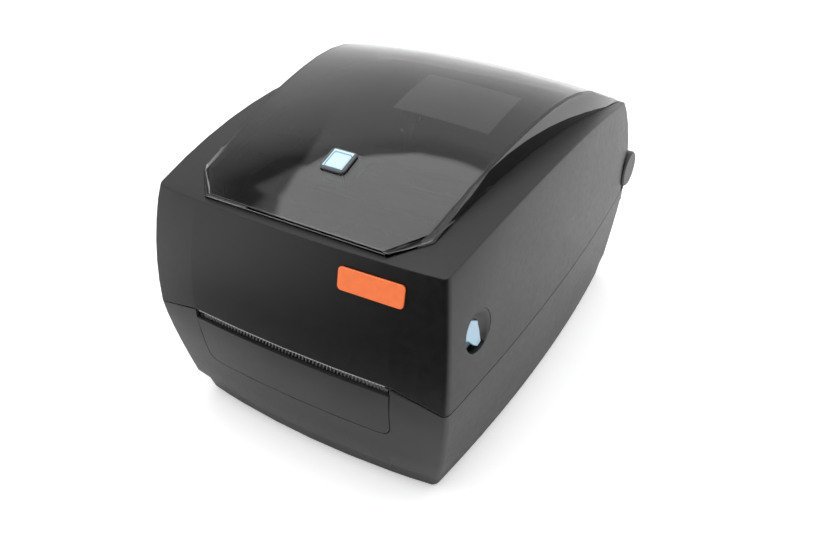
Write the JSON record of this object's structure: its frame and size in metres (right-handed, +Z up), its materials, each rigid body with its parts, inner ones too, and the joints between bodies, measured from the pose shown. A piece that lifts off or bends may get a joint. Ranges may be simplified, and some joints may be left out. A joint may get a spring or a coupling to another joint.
{
  "type": "thermal label printer",
  "caption": "Desktop thermal transfer label printer with a hinged cover, smoked domed window, label exit slot with tear bar, side latches, print mechanism and roll bay.",
  "frame": {"origin": "middle of the footprint, on the surface that the feet stand on", "axes": "+X to the printer's right seen from its front, +Y from the label exit to the rear, +Z up"},
  "size_m": [0.2046, 0.2994, 0.1893],
  "materials": {
    "black_plastic": "moulded black",
    "black_rubber": "matt",
    "bright_steel": "plain steel",
    "charcoal_plastic": "fine spark texture, dark charcoal",
    "circuit_board": "solder mask green",
    "dark_grey_plastic": "satin dark grey",
    "extruded_aluminium": "mill finish",
    "head_ceramic": "glazed",
    "label_paper": "blank paper",
    "natural_nylon": "natural nylon",
    "orange_plate": "smooth, bare",
    "pale_blue_plastic": "satin pale blue",
    "smoked_acrylic": "polished, smoked and see-through",
    "switch_rocker": "smooth"
  },
  "bodies": {
    "base": {"base_housing": "charcoal_plastic", "bottom_plate": "charcoal_plastic", "foot_front_left": "black_rubber", "foot_front_right": "black_rubber", "foot_rear_left": "black_rubber", "foot_rear_right": "black_rubber", "front_panel": "charcoal_plastic", "tear_bar": "bright_steel", "chassis": "bright_steel", "platen_bush_left": "natural_nylon", "platen_bush_right": "natural_nylon", "idler_stud": "bright_steel", "stepper_motor": "black_plastic", "label_bed": "black_plastic", "deck": "black_plastic", "roll_well": "black_plastic", "main_board": "circuit_board", "usb_socket": "bright_steel", "dc_inlet": "black_plastic", "switch_frame": "black_plastic", "latch_catch_left": "bright_steel", "latch_catch_right": "bright_steel", "hinge_pin_left": "bright_steel", "hinge_pin_right": "bright_steel"},
    "cover": {"top_cover": "charcoal_plastic", "window": "smoked_acrylic", "button_bezel": "dark_grey_plastic", "button_board": "circuit_board", "badge_plate": "orange_plate", "inner_label": "label_paper", "ribbon_frame": "black_plastic", "head_pin": "bright_steel"},
    "feed_button": {"feed_button": "pale_blue_plastic"},
    "latch": {"latch_shaft": "bright_steel", "latch_arm_left": "black_plastic", "latch_arm_right": "black_plastic", "latch_tab_left": "pale_blue_plastic", "latch_tab_right": "pale_blue_plastic"},
    "platen": {"platen_shaft": "bright_steel", "platen_roller": "black_rubber", "platen_gear": "natural_nylon"},
    "idler": {"idler_gear": "natural_nylon"},
    "motor_pinion": {"motor_pinion": "bright_steel"},
    "media_sensor": {"media_sensor": "dark_grey_plastic"},
    "guide_right": {"guide_right": "black_plastic"},
    "guide_left": {"guide_left": "black_plastic"},
    "guide_pinion": {"guide_pinion": "natural_nylon"},
    "power_rocker": {"power_rocker": "switch_rocker"},
    "printhead": {"printhead": "head_ceramic", "head_heatsink": "extruded_aluminium"},
    "supply_spindle": {"supply_spindle": "black_plastic"},
    "takeup_spindle": {"takeup_spindle": "black_plastic"}
  },
  "joints": [
    {"name": "cover_hinge", "type": "hinge", "parent": "base", "child": "cover", "pos_m": [0, 0.1367, 0.092], "axis": [-1, 0, 0], "range_deg": [0, 90]},
    {"name": "feed_press", "type": "slide", "parent": "cover", "child": "feed_button", "axis": [0, 0.305, -0.9524], "range_m": [0, 0.0008], "stiffness_N_per_m": 600, "springref_m": -0.001},
    {"name": "latch_pull", "type": "hinge", "parent": "cover", "child": "latch", "pos_m": [0, -0.1148, 0.139], "axis": [-1, 0, 0], "range_deg": [0, 6], "stiffness_Nm_per_rad": 0.5, "springref_deg": -11.46},
    {"name": "platen_spin", "type": "hinge", "parent": "base", "child": "platen", "pos_m": [0, -0.1318, 0.073], "axis": [1, 0, 0], "continuous": true},
    {"name": "idler_spin", "type": "hinge", "parent": "base", "child": "idler", "pos_m": [-0.0705, -0.11287, 0.058], "axis": [1, 0, 0], "continuous": true},
    {"name": "motor_spin", "type": "hinge", "parent": "base", "child": "motor_pinion", "pos_m": [-0.0705, -0.1078, 0.0385], "axis": [1, 0, 0], "continuous": true},
    {"name": "sensor_slide", "type": "slide", "parent": "base", "child": "media_sensor", "axis": [1, 0, 0], "range_m": [-0.044, 0.044]},
    {"name": "guide_slide_right", "type": "slide", "parent": "base", "child": "guide_right", "axis": [-1, 0, 0], "range_m": [0, 0.042]},
    {"name": "guide_slide_left", "type": "slide", "parent": "base", "child": "guide_left", "axis": [1, 0, 0], "range_m": [0, 0.042]},
    {"name": "guide_pinion_turn", "type": "hinge", "parent": "base", "child": "guide_pinion", "pos_m": [0, 0.0162, 0.029], "axis": [0, 0, 1], "range_deg": [0, 301.3]},
    {"name": "power_rock", "type": "hinge", "parent": "base", "child": "power_rocker", "pos_m": [0.062, 0.13641, 0.042], "axis": [1, 0, 0], "range_deg": [0, 14]},
    {"name": "head_lift", "type": "hinge", "parent": "cover", "child": "printhead", "pos_m": [0, -0.1058, 0.093], "axis": [-1, 0, 0], "range_deg": [0, 3], "stiffness_Nm_per_rad": 2, "springref_deg": -8.59},
    {"name": "supply_spin", "type": "hinge", "parent": "cover", "child": "supply_spindle", "pos_m": [0, -0.0238, 0.118], "axis": [1, 0, 0], "continuous": true},
    {"name": "takeup_spin", "type": "hinge", "parent": "cover", "child": "takeup_spindle", "pos_m": [0, -0.0698, 0.128], "axis": [1, 0, 0], "continuous": true}
  ],
  "couplings": [
    {"joint": "idler_spin", "follows": "platen_spin", "ratio": -0.71429},
    {"joint": "motor_spin", "follows": "platen_spin", "ratio": 1.6667},
    {"joint": "guide_slide_left", "follows": "guide_slide_right", "ratio": 1},
    {"joint": "guide_pinion_turn", "follows": "guide_slide_right", "rad_per_m": 125}
  ]
}
